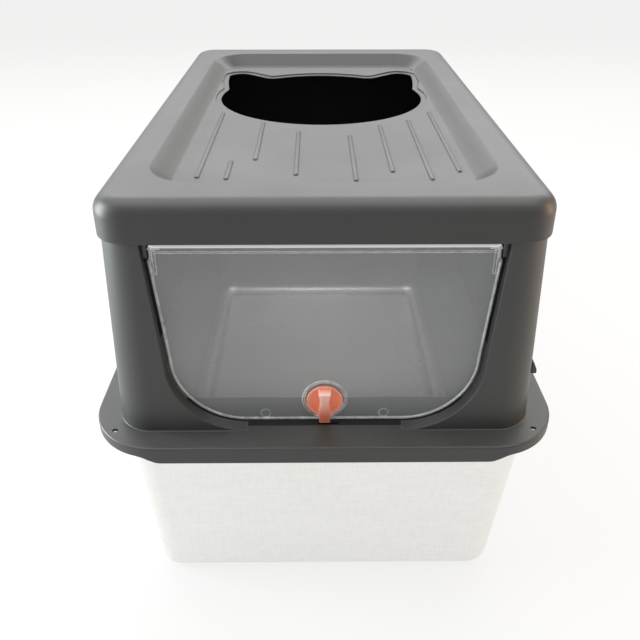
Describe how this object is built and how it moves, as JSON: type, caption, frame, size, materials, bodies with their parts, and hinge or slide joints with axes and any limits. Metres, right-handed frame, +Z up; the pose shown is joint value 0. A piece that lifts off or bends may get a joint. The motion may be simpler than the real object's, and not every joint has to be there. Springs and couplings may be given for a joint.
{
  "type": "hooded cat litter box",
  "caption": "Hooded cat litter box: steel pan, moulded hood with flange, lift-off lid with a cat-head top entry, clear hinged front flap and a turning lock knob.",
  "frame": {"origin": "on the floor under the middle of the pan", "axes": "+Z up, +Y to the back, +X to the right; the front flap faces -Y"},
  "size_m": [0.4114, 0.638, 0.41],
  "materials": {
    "pan_steel": "satin stainless steel with a fine linen grain",
    "hood_plastic": "matt dark grey moulded plastic, fine spark texture",
    "lid_plastic": "matt dark grey moulded plastic, fine spark texture",
    "flap_clear": "frosted translucent plastic",
    "knob_coral": "coral moulded plastic, satin",
    "hardware_steel": "plain steel"
  },
  "bodies": {
    "pan": {"litter_pan": "pan_steel"},
    "hood": {"hood_body": "hood_plastic", "hinge_block_left": "hood_plastic", "hinge_block_right": "hood_plastic", "hinge_pin_left": "hardware_steel", "hinge_pin_right": "hardware_steel", "scoop_hook": "hood_plastic"},
    "lid": {"top_lid": "lid_plastic"},
    "flap": {"entry_flap": "flap_clear"},
    "knob": {"lock_knob": "knob_coral", "knob_washer": "knob_coral", "knob_screw": "hardware_steel"}
  },
  "joints": [
    {"name": "hood_lift", "type": "slide", "parent": "pan", "child": "hood", "axis": [0, 0, 1], "range_m": [0, 0.2]},
    {"name": "lid_lift", "type": "slide", "parent": "hood", "child": "lid", "axis": [0, 0, 1], "range_m": [0, 0.12]},
    {"name": "flap_swing", "type": "hinge", "parent": "hood", "child": "flap", "pos_m": [0, -0.2831, 0.3679], "axis": [1, 0, 0], "range_deg": [-85, 75]},
    {"name": "knob_turn", "type": "hinge", "parent": "flap", "child": "knob", "pos_m": [0, -0.2831, 0.221], "axis": [0, 1, 0], "range_deg": [0, 90]}
  ]
}
